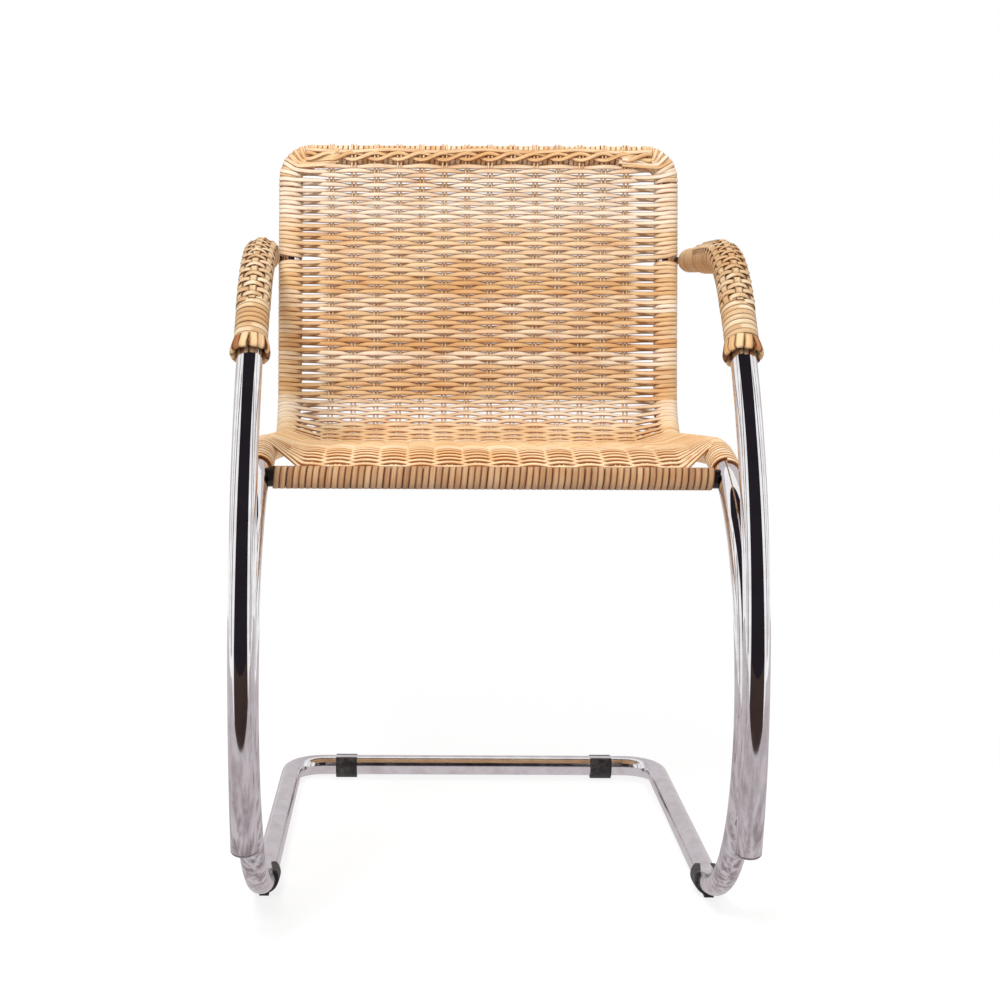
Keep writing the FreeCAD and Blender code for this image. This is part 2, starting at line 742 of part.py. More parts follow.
def box_sketch(body, name, half_width, bottom, top):
    """A sketch of a rectangle about the upright axis, between two distances from the origin."""
    sketch = sketch_on(body, name)
    wide, low, high = tube_radius, -tube_radius, tube_radius
    points = [Vector(-wide, low, 0), Vector(wide, low, 0), Vector(wide, high, 0), Vector(-wide, high, 0)]
    lines = [sketch.addGeometry(Part.LineSegment(p, q)) for p, q in zip(points, points[1:] + points[:1])]
    for first, second in zip(lines, lines[1:] + lines[:1]):
        sketch.addConstraint(Sketcher.Constraint("Coincident", first, 2, second, 1))
    for line, kind in zip(lines, ("Horizontal", "Vertical", "Horizontal", "Vertical")):
        sketch.addConstraint(Sketcher.Constraint(kind, line))
    bind(sketch, "left", Sketcher.Constraint("DistanceX", -1, 1, lines[0], 1, -wide), "-(%s)" % half_width)
    bind(sketch, "right", Sketcher.Constraint("DistanceX", -1, 1, lines[0], 2, wide), half_width)
    bind(sketch, "bottom", Sketcher.Constraint("DistanceY", -1, 1, lines[0], 1, low), bottom)
    bind(sketch, "top", Sketcher.Constraint("DistanceY", -1, 1, lines[2], 1, high), top)
    return sketch


def make_rear_glide(side):
    """A sleeve clipped round the floor bar, flat below and open above."""
    name = "rear_glide_" + side_name(side)
    body = doc.addObject("PartDesign::Body", name)
    middle_x = side_x - size("base_corner") - size("rear_glide_inset")
    body.Placement = Placement(Vector(side * middle_x, floor_bar_y, floor_axis_z), Rotation())
    radius = "Sizes.tube_diameter / 2"
    outlines = (
        ("Pad", circle_sketch(body, name + "_shell", radius + " + Sizes.glide_wall")),
        ("Pad", box_sketch(body, name + "_foot", "Sizes.foot_width / 2", "-(%s + Sizes.sole)" % radius,
                           "0 mm")),
        ("Pocket", circle_sketch(body, name + "_room", radius + " + Sizes.glide_fit")),
        ("Pocket", box_sketch(body, name + "_mouth", "Sizes.tube_diameter", "Sizes.glide_rise",
                              "Sizes.tube_diameter")),
    )
    for number, (kind, sketch) in enumerate(outlines):
        feature = body.newObject("PartDesign::" + kind, "%s_step_%d" % (name, number))
        feature.Profile = sketch
        feature.SideType = "Symmetric"
        feature.setExpression("Length", "Sizes.rear_glide_length")
    keep(body, name)


for side in (-1, 1):
    make_frame(side)
    make_rail_plug(side)
    make_screw(side, "rail", "front_rail_screw")
    make_arm_tube(side)
    for place in ("low", "rear"):
        make_arm_plug(side, place)
        make_arm_spacer(side, place)
        make_screw(side, "arm_" + place, "arm_screw_" + place)
    make_frame_windings(side)
    make_arm_cane(side)
    make_front_glide(side)
    make_rear_glide(side)

make_sleeve("base_joint_sleeve", Vector(0, floor_bar_y, floor_axis_z))
make_sleeve("top_joint_sleeve", top_point)
make_front_rail()
rail_half = side_x - tube_radius - size("winding_end")
make_bar_winding("front_rail_winding", rail_axis, "Sizes.rail_diameter / 2", rail_half)
bar_half = side_x - size("top_corner") - size("layer_gap")
make_bar_winding("top_bar_winding", top_point, "Sizes.tube_diameter / 2", bar_half)
make_seat_field()
make_back_field()

doc.recompute()
for thing in doc.Objects:
    if "Invalid" in thing.State or "Error" in thing.State:
        raise RuntimeError("%s did not build: %s" % (thing.Label, thing.State))
for thing in kept:
    if thing.Shape.isNull() or not thing.Shape.isValid():
        raise RuntimeError("%s has no valid shape" % thing.Label)

os.makedirs("parts", exist_ok=True)
for thing in kept:
    thing.Shape.exportStep("parts/%s.step" % thing.Label)
whole = Part.makeCompound([thing.Shape for thing in kept]).BoundBox
print("%d pieces, %.1f wide, %.1f deep, %.1f high" % (len(kept), whole.XLength, whole.YLength, whole.ZLength))
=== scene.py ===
"""Looks of the cantilever armchair: chromed tube, and the cane woven and wound on it strand by strand.

Metres, in the frame of the CAD model: +Z is up, the sitter faces -Y and Z = 0 is the floor.
"""

import math
import random
from functools import partial

import bpy
import numpy as np
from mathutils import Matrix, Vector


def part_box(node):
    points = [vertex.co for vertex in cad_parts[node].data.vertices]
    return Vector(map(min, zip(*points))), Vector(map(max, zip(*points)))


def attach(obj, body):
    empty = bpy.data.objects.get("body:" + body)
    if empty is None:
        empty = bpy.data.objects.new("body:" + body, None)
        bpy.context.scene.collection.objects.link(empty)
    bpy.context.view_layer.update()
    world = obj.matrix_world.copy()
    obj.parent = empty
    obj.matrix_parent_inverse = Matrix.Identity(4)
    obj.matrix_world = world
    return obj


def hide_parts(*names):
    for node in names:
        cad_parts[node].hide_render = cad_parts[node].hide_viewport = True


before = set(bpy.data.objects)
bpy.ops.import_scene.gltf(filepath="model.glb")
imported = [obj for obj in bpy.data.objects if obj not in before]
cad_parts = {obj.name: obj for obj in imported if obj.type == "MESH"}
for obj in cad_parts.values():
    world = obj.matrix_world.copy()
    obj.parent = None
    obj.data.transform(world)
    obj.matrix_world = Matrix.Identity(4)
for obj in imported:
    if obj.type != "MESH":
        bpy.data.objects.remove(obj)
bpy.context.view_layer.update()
random.seed(7)
noise = np.random.default_rng(7)

X_AXIS = np.array((1.0, 0.0, 0.0))
Z_AXIS = np.array((0.0, 0.0, 1.0))
SIDES = {"left": -1, "right": 1}

# Sizes of the construction, as the CAD source has them
TUBE = 0.0125
WINDING = 0.002
WOUND = TUBE + WINDING
FRONT_BEND = 0.226
SEAT_FALL = math.radians(4)
SEAT_DEPTH = 0.374
SEAT_BACK_BEND = 0.065
BACK_LEAN = math.radians(7.5)
TOP_CORNER = 0.027
RAIL = 0.0095
ARM_LOW_LEAN = math.radians(15)
ARM_FRONT_BEND = 0.520
ARM_TOP_BEND = 0.140
ARM_SWING_BEND = 0.160
ARM_OFFSET = 0.0298
ARM_TAIL = 0.0195
JOINT_BARE = 0.010


def middle(node):
    """Middle of a CAD node's box."""
    low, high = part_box(node)
    return np.array((low + high) / 2)


frame_low, frame_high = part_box("frame_tube_right")
side_x = frame_high.x - TUBE
bend_y = frame_low.y + FRONT_BEND + TUBE
bend_z = frame_low.z + TUBE + FRONT_BEND
rail_axis = middle("front_rail_tube")
top_axis = middle("top_bar_winding")
joint = middle("arm_spacer_rear_right")


class Track:
    """A line in space given by its heading: elevation and turn at distances along it."""

    STEP = 0.00025

    def __init__(self, start, distances, elevations, turns=None, side=1):
        """A line from a start; its heading changes evenly from each distance to the next."""
        self.length = distances[-1]
        count = int(self.length / self.STEP)
        self.at = np.linspace(0, self.length, count + 1)
        between = (self.at[1:] + self.at[:-1]) / 2
        self.distances = distances
        self.elevations = elevations
        self.turns = turns or [0.0] * len(distances)
        self.side = side
        steps = self.frames(between)[0] * (self.length / count)
        self.points = np.vstack([start, start + np.cumsum(steps, axis=0)])

    def frames(self, at):
        """Unit vectors at distances: along, out of the surface, and to the outer side."""
        up = np.interp(at, self.distances, self.elevations)
        turn = np.interp(at, self.distances, self.turns)
        cos_up, sin_up = np.cos(up), np.sin(up)
        cos_turn, sin_turn = np.cos(turn), self.side * np.sin(turn)
        along = np.stack([sin_turn * cos_up, cos_turn * cos_up, sin_up], -1)
        out = np.stack([-sin_turn * sin_up, -cos_turn * sin_up, cos_up], -1)
        across = np.stack([self.side * cos_turn, -self.side * sin_turn, np.zeros_like(up)], -1)
        return along, out, across

    def point(self, at):
        """Points of the line at distances."""
        return np.stack([np.interp(at, self.at, self.points[:, k]) for k in range(3)], -1)

    def tube(self, at):
        """Centre and frame of a tube that follows the line."""
        return (self.point(at), *self.frames(at))


def profile_track():
    """The line of the seat and back in the middle plane, from the front rail to the top bar."""
    rail_lean = math.asin((bend_y - rail_axis[1]) / FRONT_BEND)
    meeting_reach = SEAT_BACK_BEND * math.tan((math.pi / 2 - BACK_LEAN + SEAT_FALL) / 2)
    bend_top_y = bend_y + FRONT_BEND * math.sin(SEAT_FALL)
    seat_run = (bend_y + SEAT_DEPTH - bend_top_y) / math.cos(SEAT_FALL)
    meeting_z = bend_z + FRONT_BEND * math.cos(SEAT_FALL) - seat_run * math.sin(SEAT_FALL)
    back_run = (top_axis[2] - meeting_z) / math.cos(BACK_LEAN)
    turn = math.pi / 2 - BACK_LEAN + SEAT_FALL
    spans = [FRONT_BEND * (rail_lean + SEAT_FALL), seat_run - meeting_reach, SEAT_BACK_BEND * turn,
             back_run - meeting_reach]
    distances = [0.0] + [float(d) for d in np.cumsum(spans)]
    upright = math.pi / 2 - BACK_LEAN
    start = np.array((0.0, rail_axis[1], rail_axis[2]))
    return Track(start, distances, [rail_lean, -SEAT_FALL, -SEAT_FALL, upright, upright])


profile = profile_track()
bend_start, back_start, bar_at = profile.distances[2:5]
corner_at = bar_at - TOP_CORNER
joint_at = bar_at - (top_axis[2] - joint[2]) / math.cos(BACK_LEAN)


def side_tube(side, at):
    """Centre and frame (along, out, across) of a side tube, round the upper corner too."""
    at = np.asarray(at, float)
    low = np.minimum(at, corner_at)
    along, out, _ = profile.frames(low)
    across = np.broadcast_to(X_AXIS * side, along.shape)
    turn = np.maximum(at - corner_at, 0)[..., None] / TOP_CORNER
    centre = profile.point(low) + X_AXIS * side * side_x
    centre = centre + TOP_CORNER * (np.sin(turn) * along - (1 - np.cos(turn)) * across)
    return (centre, np.cos(turn) * along - np.sin(turn) * across, out,
            np.cos(turn) * across + np.sin(turn) * along)


def arm_track(side):
    """The middle line of an arm, from its lower end to its rear end, and where it turns level."""
    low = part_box("arm_tube_right")[0]
    rear = middle("arm_screw_rear_right")
    level_z = joint[2]
    plug_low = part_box("arm_plug_low_right")[0]
    start_z = plug_low.z + TUBE * math.sin(ARM_LOW_LEAN)
    tilt = math.asin((level_z - start_z - ARM_FRONT_BEND * math.sin(ARM_LOW_LEAN) - ARM_TOP_BEND)
                     / (ARM_FRONT_BEND - ARM_TOP_BEND))
    start_y = low.y + TUBE + ARM_FRONT_BEND * (1 - math.cos(ARM_LOW_LEAN))
    long_run = ARM_FRONT_BEND * (ARM_LOW_LEAN + tilt)
    top_run = ARM_TOP_BEND * (math.pi / 2 - tilt)
    level_y = (start_y + ARM_FRONT_BEND * (math.cos(ARM_LOW_LEAN) - math.cos(tilt))
               + ARM_TOP_BEND * math.cos(tilt))
    ahead = rear[1] - level_y
    inside = ARM_SWING_BEND - ARM_OFFSET
    straight = math.sqrt(inside ** 2 + ahead ** 2 - ARM_SWING_BEND ** 2)
    swing = math.atan2(ahead, inside) - math.atan2(straight, ARM_SWING_BEND)
    level_at = long_run + top_run
    swing_end = level_at + ARM_SWING_BEND * swing
    end = swing_end + straight + ARM_TAIL
    return Track(np.array((side * side_x, start_y, start_z)),
                 [0.0, long_run, level_at, swing_end, end],
                 [math.pi / 2 + ARM_LOW_LEAN, math.pi / 2 - tilt, 0.0, 0.0, 0.0],
                 [0.0, 0.0, 0.0, swing, swing], side)


# Materials


def shader(name):
    """A new material with a Principled shader; returns it, its tree's nodes, links and the shader."""
    material = bpy.data.materials.new(name)
    material.use_nodes = True
    nodes = material.node_tree.nodes
    return material, nodes, material.node_tree.links, nodes["Principled BSDF"]


def colour(red, green, blue):
    """Linear colour from sRGB values of 0 to 255."""
    return tuple((c / 255 / 12.92) if c / 255 <= 0.04045 else ((c / 255 + 0.055) / 1.055) ** 2.4
                 for c in (red, green, blue)) + (1.0,)


WHITE = colour(255, 255, 255)


def ramp(nodes, links, factor, *stops):
    """A colour ramp with its stops: pairs of place and colour."""
    node = nodes.new("ShaderNodeValToRGB")
    elements = node.color_ramp.elements
    while len(elements) < len(stops):
        elements.new(0.5)
    for element, (place, value) in zip(elements, stops):
        element.position = place
        element.color = value
    links.new(factor, node.inputs["Fac"])
    return node.outputs["Color"]


def noise_at(nodes, links, vector, scale, detail=3.0, roughness=0.5):
    """A noise texture, read at a vector."""
    node = nodes.new("ShaderNodeTexNoise")
    node.inputs["Scale"].default_value = scale
    node.inputs["Detail"].default_value = detail
    node.inputs["Roughness"].default_value = roughness
    links.new(vector, node.inputs["Vector"])
    return node.outputs["Fac"]


def stretched(nodes, links, vector, scale):
    """A vector scaled by axis."""
    node = nodes.new("ShaderNodeVectorMath")
    node.operation = "MULTIPLY"
    node.inputs[1].default_value = scale
    links.new(vector, node.inputs[0])
    return node.outputs["Vector"]


def feed(links, socket, value):
    """Links a socket to an input, or sets the input to a value."""
    if isinstance(value, bpy.types.NodeSocket):
        links.new(value, socket)
    else:
        socket.default_value = value


def mixed(nodes, links, kind, factor, first, second):
    """Two colours mixed; the factor and each colour is a socket or a value."""
    node = nodes.new("ShaderNodeMix")
    node.data_type = "RGBA"
    node.blend_type = kind
    for place, value in ((0, factor), (6, first), (7, second)):
        feed(links, node.inputs[place], value)
    return node.outputs[2]


def maths(nodes, links, operation, *values):
    """A number worked out from sockets or values."""
    node = nodes.new("ShaderNodeMath")
    node.operation = operation
    for socket, value in zip(node.inputs, values):
        feed(links, socket, value)
    return node.outputs[0]


def share_of(nodes, links, value, start, end):
    """How far a value is on the way from start to end, held between 0 and 1."""
    node = nodes.new("ShaderNodeMapRange")
    node.inputs["From Min"].default_value = start
    node.inputs["From Max"].default_value = end
    links.new(value, node.inputs["Value"])
    return node.outputs[0]


def bump(nodes, links, height, strength, distance):
    """A normal that follows a height."""
    node = nodes.new("ShaderNodeBump")
    node.inputs["Strength"].default_value = strength
    node.inputs["Distance"].default_value = distance
    links.new(height, node.inputs["Height"])
    return node.outputs["Normal"]


def read(nodes, name):
    """A mesh attribute."""
    node = nodes.new("ShaderNodeAttribute")
    node.attribute_name = name
    return node


def cane_material(name, stops, edge_shade, rough):
    """Cane: each strand has a tone of its own, with fibres along it, and its sides are painted darker, as
    shade between strands.
    """
    material, nodes, links, surface = shader(name)
    grain = read(nodes, "grain").outputs["Vector"]
    tone = read(nodes, "tone").outputs["Fac"]
    side = read(nodes, "edge_shade").outputs["Fac"]
    base = ramp(nodes, links, tone, *stops)
    fibres = noise_at(nodes, links, stretched(nodes, links, grain, (12, 2600, 2600)), 1.0, 2.0)
    blotches = noise_at(nodes, links, stretched(nodes, links, grain, (22, 160, 160)), 1.0, 3.0)
    dark_fibres = ramp(nodes, links, fibres, (0.30, colour(188, 150, 112)), (0.52, WHITE))
    base = mixed(nodes, links, "MULTIPLY", 0.42, base, dark_fibres)
    stain = ramp(nodes, links, blotches, (0.33, colour(214, 170, 118)), (0.52, WHITE))
    base = mixed(nodes, links, "MULTIPLY", 0.5, base, stain)
    place = nodes.new("ShaderNodeTexCoord").outputs["Object"]
    patches = noise_at(nodes, links, stretched(nodes, links, place, (11, 11, 26)), 1.0, 3.0)
    warm = ramp(nodes, links, patches, (0.36, colour(238, 205, 158)), (0.52, WHITE))
    base = mixed(nodes, links, "MULTIPLY", 0.45, base, warm)
    # Painted shade: towards the strand's borders the colour goes to the darker colour, for the shade between
    # strands.
    rim_shade = ramp(nodes, links, side, (0.50, (0, 0, 0, 1)), (0.98, (1, 1, 1, 1)))
    base = mixed(nodes, links, "MULTIPLY", rim_shade, base, edge_shade)
    links.new(base, surface.inputs["Base Color"])
    links.new(maths(nodes, links, "MULTIPLY_ADD", fibres, 0.25, rough), surface.inputs["Roughness"])
    links.new(bump(nodes, links, fibres, 0.35, 0.0003), surface.inputs["Normal"])
    surface.inputs["Specular IOR Level"].default_value = 0.4
    return material


# The last colour given to each cane material is painted shade for its strands' borders.
WEFT_TONES = ((0.0, colour(224, 174, 114)), (0.3, colour(238, 202, 152)), (0.6, colour(245, 217, 176)),
              (1.0, colour(252, 238, 216)))
woven = cane_material("woven_cane", WEFT_TONES, colour(168, 108, 50), 0.42)
# The front rail's cane is a darker, browner copy of the woven cane.
RAIL_TONES = ((0.0, colour(154, 113, 78)), (0.5, colour(188, 149, 111)), (1.0, colour(222, 189, 151)))
rail_cane = cane_material("front_rail_cane", RAIL_TONES, colour(130, 88, 54), 0.38)
COLLAR_TONES = ((0.0, colour(150, 86, 42)), (0.35, colour(200, 142, 86)), (0.6, colour(222, 182, 132)),
                (1.0, colour(238, 210, 168)))
collar_cane = cane_material("collar_cane", COLLAR_TONES, colour(112, 66, 36), 0.4)
ARM_TONES = ((0.0, colour(184, 140, 94)), (0.3, colour(204, 168, 124)), (0.6, colour(218, 188, 148)),
             (1.0, colour(234, 214, 182)))
arm_cane = cane_material("arm_cane", ARM_TONES, colour(112, 72, 40), 0.42)


def chrome_material():
    """Bright chrome, scuffed near the floor; low on the arms and the front bends, grey-mauve streaks are
    smudges and a painted reflection of the floor.
    """
    material, nodes, links, surface = shader("chrome")
    place = nodes.new("ShaderNodeTexCoord").outputs["Object"]
    split = nodes.new("ShaderNodeSeparateXYZ")
    links.new(place, split.inputs[0])
    low = share_of(nodes, links, split.outputs["Z"], 0.30, 0.08)
    in_front = share_of(nodes, links, split.outputs["Y"], -0.10, -0.22)
    clouds = noise_at(nodes, links, place, 38.0, 5.0, 0.6)
    scratches = noise_at(nodes, links, stretched(nodes, links, place, (900, 900, 60)), 1.0, 2.0)
    streaks = noise_at(nodes, links, stretched(nodes, links, place, (170, 170, 22)), 1.0, 5.0, 0.6)
    worn = maths(nodes, links, "MULTIPLY", low, clouds)
    links.new(maths(nodes, links, "MULTIPLY_ADD", worn, 0.26, 0.035), surface.inputs["Roughness"])
    tint = ramp(nodes, links, clouds, (0.35, colour(226, 222, 223)), (0.6, colour(242, 241, 243)))
    # Smudges and painted reflection: the low front of the tubes is tinted grey-mauve, as the floor before the
    # chair would show in them.
    smudges_and_floor_reflection = ramp(nodes, links, streaks, (0.40, colour(174, 163, 168)), (0.58, WHITE))
    low_front_smudge_and_reflection = maths(nodes, links, "MULTIPLY", low, in_front)
    links.new(mixed(nodes, links, "MULTIPLY", low_front_smudge_and_reflection, tint, smudges_and_floor_reflection), surface.inputs["Base Color"])
    surface.inputs["Metallic"].default_value = 1.0
    links.new(bump(nodes, links, scratches, 0.004, 0.0002), surface.inputs["Normal"])
    return material


def steel_material(name, dark, light):
    """Turned steel of the screws, plugs and spacers; the front rail's tube gets a darker copy, painted shade
    for the shadow under the seat's cane.
    """
    material, nodes, links, surface = shader(name)
    place = nodes.new("ShaderNodeTexCoord").outputs["Object"]
    fine = noise_at(nodes, links, place, 900.0, 3.0)
    tint = ramp(nodes, links, fine, (0.3, dark), (0.7, light))
    links.new(tint, surface.inputs["Base Color"])
    surface.inputs["Metallic"].default_value = 1.0
    links.new(maths(nodes, links, "MULTIPLY_ADD", fine, 0.3, 0.18), surface.inputs["Roughness"])
    return material


def plastic_material():
    """Matt black plastic of the glides, greyed by wear near the floor."""
    material, nodes, links, surface = shader("glide_plastic")
    place = nodes.new("ShaderNodeTexCoord").outputs["Object"]
    grain = noise_at(nodes, links, place, 1400.0, 3.0)
    wear = noise_at(nodes, links, place, 120.0, 4.0)
    tint = ramp(nodes, links, wear, (0.42, colour(34, 32, 33)), (0.7, colour(78, 74, 73)))
    links.new(tint, surface.inputs["Base Color"])
    links.new(maths(nodes, links, "MULTIPLY_ADD", wear, 0.3, 0.4), surface.inputs["Roughness"])
    links.new(bump(nodes, links, grain, 0.25, 0.0002), surface.inputs["Normal"])
    return material


chrome = chrome_material()
steel = steel_material("steel", colour(112, 108, 110), colour(176, 174, 177))
# Painted shade: the front rail's bare tube is made dark for the shadow under the seat's cane.
rail_steel_painted_shade = steel_material("rail_steel_painted_shade", colour(46, 42, 42), colour(84, 80, 80))
plastic = plastic_material()


# Strands

SECTION = 8
section_turns = np.linspace(0, 2 * math.pi, SECTION, endpoint=False) + math.pi / SECTION


def section(roundness):
    """The outline of a strand: 1 is an oval, less is flatter with rounded edges."""
    waves = (np.cos(section_turns), np.sin(section_turns))
    return [np.sign(wave) * np.abs(wave) ** roundness for wave in waves]


def unit(vectors):
    """Vectors brought to length 1."""
    return vectors / np.maximum(np.linalg.norm(vectors, axis=-1, keepdims=True), 1e-12)


class Strands:
    """Strands of cane swept along their paths, gathered into one mesh."""

    ATTRIBUTES = (("grain", "FLOAT_VECTOR", "vector"), ("edge_shade", "FLOAT", "value"), ("tone", "FLOAT", "value"))

    def __init__(self, roundness=0.7):
        """No strands yet; the roundness is that of their section."""
        self.parts = []
        self.across, self.out = section(roundness)

    def add(self, path, across, half_width, half_thick, tone):
        """A strand along a path. Across is its width's direction; sizes and tone are numbers or arrays."""
        path = np.asarray(path, float)
        count = len(path)
        step = np.gradient(path, axis=0)
        along = unit(step)
        across = np.broadcast_to(across, path.shape)
        across = unit(across - along * np.sum(across * along, -1, keepdims=True))
        out = np.cross(along, across)
        width = np.broadcast_to(half_width, (count,))[:, None, None]
        thick = np.broadcast_to(half_thick, (count,))[:, None, None]
        ring_across = self.across[None, :, None]
        ring_out = self.out[None, :, None]
        points = (path[:, None, :] + across[:, None] * ring_across * width
                  + out[:, None] * ring_out * thick)
        distance = np.cumsum(np.linalg.norm(step, axis=-1)) + noise.uniform(0, 50)
        grain = np.stack([np.broadcast_to(distance[:, None], (count, SECTION)),
                          (ring_across * width)[..., 0], (ring_out * thick)[..., 0]], -1)
        # How far out across the strand each point lies; the cane material paints shade there.
        edge_shade = np.broadcast_to(np.abs(self.across), (count, SECTION))
        tones = np.broadcast_to(np.broadcast_to(tone, (count,))[:, None], (count, SECTION))
        self.parts.append((points, grain, edge_shade, tones))

    def faces(self):
        """The corners of all faces, one face after another, and each face's number of corners."""
        corners, sizes = [], []
        first = 0
        here = np.arange(SECTION)
        after = (here + 1) % SECTION
        for points, *_ in self.parts:
            rings = first + np.arange(len(points))[:, None] * SECTION
            rows, following = rings[:-1], rings[1:]
            quads = np.stack([rows + here, rows + after, following + after, following + here], -1)
            lids = np.stack([rings[0] + here[::-1], rings[-1] + here])
            corners += [quads.reshape(-1), lids.reshape(-1)]
            sizes += [np.full(quads.size // 4, 4), np.full(2, SECTION)]
            first += len(points) * SECTION
        return np.concatenate(corners), np.concatenate(sizes)

    def gathered(self, index):
        """One kind of value, for the points of all strands."""
        return np.concatenate([part[index].reshape(-1) for part in self.parts]).astype(np.float32)

    def build(self, name, material, slot, *stood_for):
        """The mesh object, with the attributes that its material reads, riding on the chair."""
        corners, sizes = self.faces()
        places = self.gathered(0)
        mesh = bpy.data.meshes.new(name)
        mesh.vertices.add(len(places) // 3)
        mesh.vertices.foreach_set("co", places)
        mesh.loops.add(len(corners))
        mesh.loops.foreach_set("vertex_index", corners.astype(np.int32))
        mesh.polygons.add(len(sizes))
        mesh.polygons.foreach_set("loop_start", (np.cumsum(sizes) - sizes).astype(np.int32))
        mesh.polygons.foreach_set("use_smooth", sizes == 4)
        for index, (label, kind, field) in enumerate(self.ATTRIBUTES, 1):
            attribute = mesh.attributes.new(label, kind, "POINT")
            attribute.data.foreach_set(field, self.gathered(index))
        mesh.update(calc_edges=True)
        mesh.validate()
        mesh.materials.append(material)
        piece = bpy.data.objects.new(name, mesh)
        bpy.context.scene.collection.objects.link(piece)
        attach(piece, "root")
        if stood_for:
            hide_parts(*stood_for)


def wobble(at, length, size):
    """A smooth random offset along a strand: a few waves of about a given length."""
    total = np.zeros_like(at, dtype=float)
    for share in (1.0, 0.53, 0.31):
        total += np.sin(at / (length * share) * 2 * math.pi + noise.uniform(0, 6.3)) * share
    return total * size / 1.8


def tone_near(mean, spread):
    """A strand's tone, drawn around a mean and held between 0 and 1."""
    return float(np.clip(noise.normal(mean, spread), 0, 1))


usual_tone = partial(tone_near, 0.55, 0.2)
even_tone = partial(tone_near, 0.5, 0.11)


# The woven field

STAKES = 14
STAKE_PITCH = 0.0282
STAKE = 0.0013
STAKE_PAIR = 0.0022
ROW_PITCH = 0.0055
ROW_WIDTH = 0.00310
ROW_THICK = 0.00155
ROW_LIFT = 0.0028
FIRST_ROW = 0.0150
# Shares of the lift and width in the bend between seat and back, and on the seat; the bend's begin early
BEND_EASE = 0.010
LIFT_IN_BEND, LIFT_ON_SEAT = 0.45, 0.75
WIDTH_IN_BEND, WIDTH_ON_SEAT = 1.18, 1.05
# Turns round the side tubes: how far they spread as they leave a tube, and lie apart on it
TURN_RADIUS = TUBE + 0.0012
TURN_SPREAD = 0.0024
TURN_EVEN = 0.0013
# Where in the bend the open band lies, and where the seat's way of weaving ends
OPEN_SHARE = 0.76
SEAT_SHARE = 0.60
# How far the rows are fanned at the front corners and the top corners, and over what length
OPEN_CORNER = 0.062
FAN_REACH = 0.250
TOP_FAN = 0.011
TOP_FAN_REACH = 0.040
# How far the rows part round the arm's screw, stop short of the top bar and rise to it
GAP_REACH = 0.020
BAR_REACH = 0.0095
LIFT_REACH = 0.045
stake_xs = (np.arange(STAKES) - (STAKES - 1) / 2) * STAKE_PITCH
last_row = bar_at - BAR_REACH
rows_at = np.arange(FIRST_ROW, last_row, ROW_PITCH)
open_at = bend_start + (back_start - bend_start) * OPEN_SHARE
seat_end = bend_start + (back_start - bend_start) * SEAT_SHARE
tube_start = math.asin(TURN_RADIUS / (side_x - stake_xs[-1]))


def on_tube(at, angle=0.0):
    """Where on a side tube a row is wound: fanned at the corners, and parted round the arm's screw."""
    at = np.asarray(at, float)
    front = OPEN_CORNER * np.maximum(1 - at / FAN_REACH, 0) ** 2
    top = TOP_FAN * (np.maximum(at - (last_row - TOP_FAN_REACH), 0) / TOP_FAN_REACH) ** 2
    away = at - joint_at
    parting = 0.35 + 0.65 * np.maximum(np.sin(angle), 0)
    gap = np.sign(away) * JOINT_BARE / 2 * parting * np.exp(-np.abs(away) / GAP_REACH)
    return at + front + top + gap


def crowding(at):
    """How much closer the rows lie on the tube than between the stakes."""
    step = 0.001
    return np.clip((on_tube(at + step) - on_tube(at - step)) / (2 * step), 0.45, 1.0)


def openness(at):
    """Strands are thinner where light shows through: where the seat has turned up, and near the top."""
    turned_up = np.exp(-((at - open_at) / 0.017) ** 2)
    near_top = np.exp(-((at - last_row + 0.032) / 0.032) ** 2)
    return 1 - 0.28 * turned_up - 0.12 * near_top


def forward(at):
    """How far the weave comes forward to pass in front of the top bar."""
    reach = WOUND + 0.0022
    away = np.clip(at - bar_at, -BAR_REACH, reach)
    round_bar = np.sqrt(np.maximum(reach ** 2 - away ** 2, 0))
    share = np.clip((at - (last_row - LIFT_REACH)) / LIFT_REACH, 0, 1)
    return round_bar * share ** 2 * (3 - 2 * share)


def on_field(x, at, out):
    """Points of the woven surface."""
    along, normal, _ = profile.frames(at)
    beyond = np.maximum(at - bar_at, 0)[:, None]
    return profile.point(at) + along * beyond + X_AXIS * x[:, None] + normal * (out + forward(at))[:, None]


def row_run(number, at, way):
    """One row between the outermost stakes, over one stake and under the next."""
    margin = 0.006
    count = (STAKES - 1) * 8 + 4
    x = np.linspace(stake_xs[0] - margin, stake_xs[-1] + margin, count)
    phase = (x - stake_xs[0]) / STAKE_PITCH
    swing = np.cos(math.pi * phase) * (1 if number % 2 == 0 else -1)
    shape = swing * (1.22 - 0.22 * swing ** 2)
    on_seat = at < seat_end
    in_bend = on_seat and at > bend_start - BEND_EASE
    lift = ROW_LIFT * (LIFT_IN_BEND if in_bend else LIFT_ON_SEAT if on_seat else 1.0)
    lift = lift * (1 + 0.10 * wobble(x, 0.11, 1.0))
    places = at + wobble(x, 0.15, 0.00028) - 0.0003 * (1 - shape) / 2
    width = ROW_WIDTH * (WIDTH_IN_BEND if in_bend else WIDTH_ON_SEAT if on_seat else openness(at))
    width = width * (1 + (0.04 if on_seat else 0.13) * shape) * (1 + 0.04 * wobble(x, 0.07, 1.0))
    path = on_field(x, places, shape * lift)
    return (path[::way], width[::way], places[::way])


